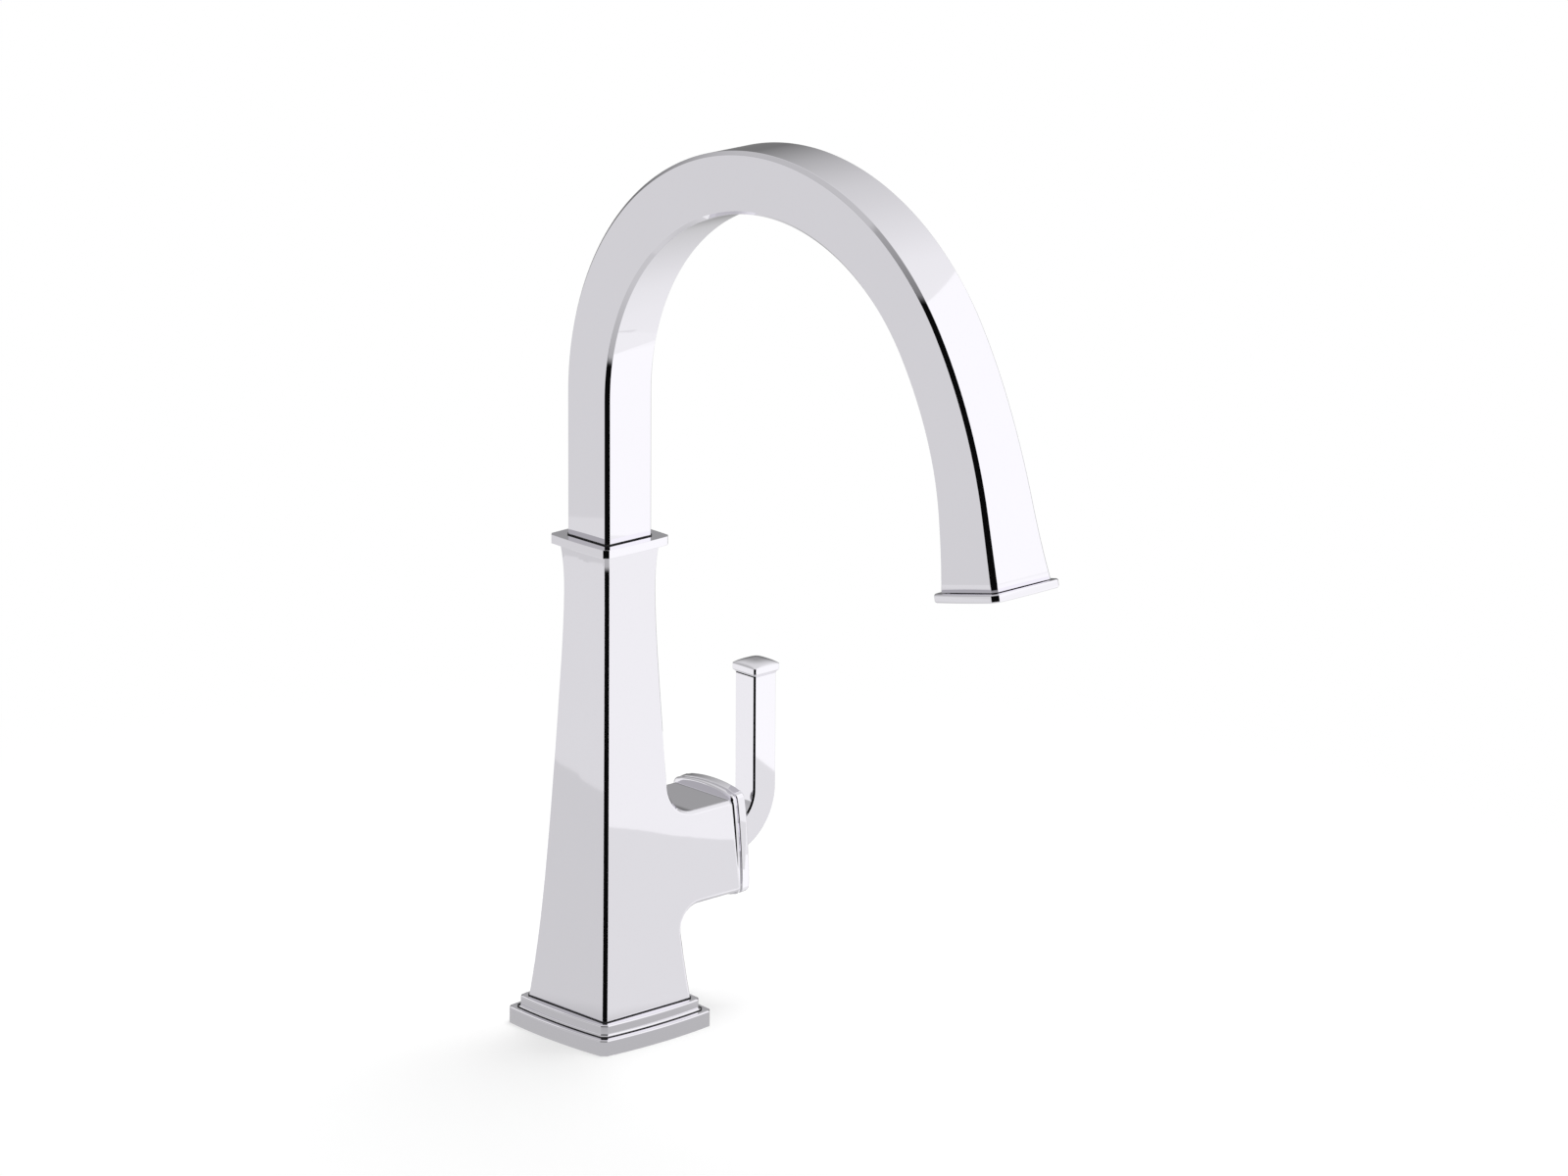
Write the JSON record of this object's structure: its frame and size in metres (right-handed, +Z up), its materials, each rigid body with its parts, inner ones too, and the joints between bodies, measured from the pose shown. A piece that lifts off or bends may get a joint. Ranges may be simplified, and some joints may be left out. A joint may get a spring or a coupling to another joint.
{
  "type": "pull down kitchen faucet",
  "caption": "Square-section high-arch kitchen faucet with tapered column, side lever, swivelling spout and concealed pull-down spray head; fastens through a deck hole.",
  "frame": {"origin": "where the column's vertical axis meets the deck, on the underside of the plinth", "axes": "+Z up along the column, -Y towards the spout's outlet (the user's side), +X towards the handle"},
  "size_m": [0.1166, 0.2655, 0.4698],
  "materials": {
    "chrome": "polished chrome plate on brass",
    "rubber": "matte black seal rubber",
    "brass": "machined brass",
    "steel": "turned stainless steel",
    "copper": "drawn copper tube",
    "acetal": "moulded acetal",
    "dark_plastic": "moulded dark plastic",
    "magnet": "coated ring magnet",
    "hose": "braided nylon hose",
    "spray_face": "satin grey plastic"
  },
  "bodies": {
    "base": {"base_plinth": "chrome", "deck_gasket": "rubber", "column_body": "chrome", "mounting_shank": "brass", "rubber_washer": "rubber", "clamp_washer": "steel", "mounting_nut": "brass", "clamp_screws": "steel", "valve_block": "brass", "hot_tube": "copper", "cold_tube": "copper", "outlet_tube": "copper", "upper_bush": "acetal", "lower_bush": "acetal", "cartridge_body": "acetal", "cartridge_seals": "rubber", "cartridge_nut": "brass", "trim_flange": "chrome"},
    "spout": {"spout_shell": "chrome", "spout_sleeve": "brass", "sleeve_rings": "rubber", "retaining_clip": "steel", "spray_hose": "hose", "hose_coupling": "brass", "dock_insert": "dark_plastic", "dock_magnet": "magnet"},
    "handle": {"valve_stem": "brass", "handle_plate": "chrome", "lever": "chrome", "lever_cap": "chrome", "set_screw": "steel"},
    "spray_head": {"head_body": "dark_plastic", "head_rim": "chrome", "keeper_ring": "steel", "hose_nut": "brass", "flow_insert": "acetal", "spray_face": "spray_face", "spray_nozzles": "rubber", "aerator": "spray_face"}
  },
  "joints": [
    {"name": "spout_swivel", "type": "hinge", "parent": "base", "child": "spout", "pos_m": [0, 0, 0.2029], "axis": [0, 0, 1], "continuous": true},
    {"name": "handle_turn", "type": "hinge", "parent": "base", "child": "handle", "pos_m": [0.0512, 0, 0.0676], "axis": [0.9973, 0, 0.0732], "range_deg": [0, 90]},
    {"name": "spray_pull", "type": "slide", "parent": "spout", "child": "spray_head", "axis": [0, -0.2045, -0.9789], "range_m": [0, 0.2]}
  ]
}
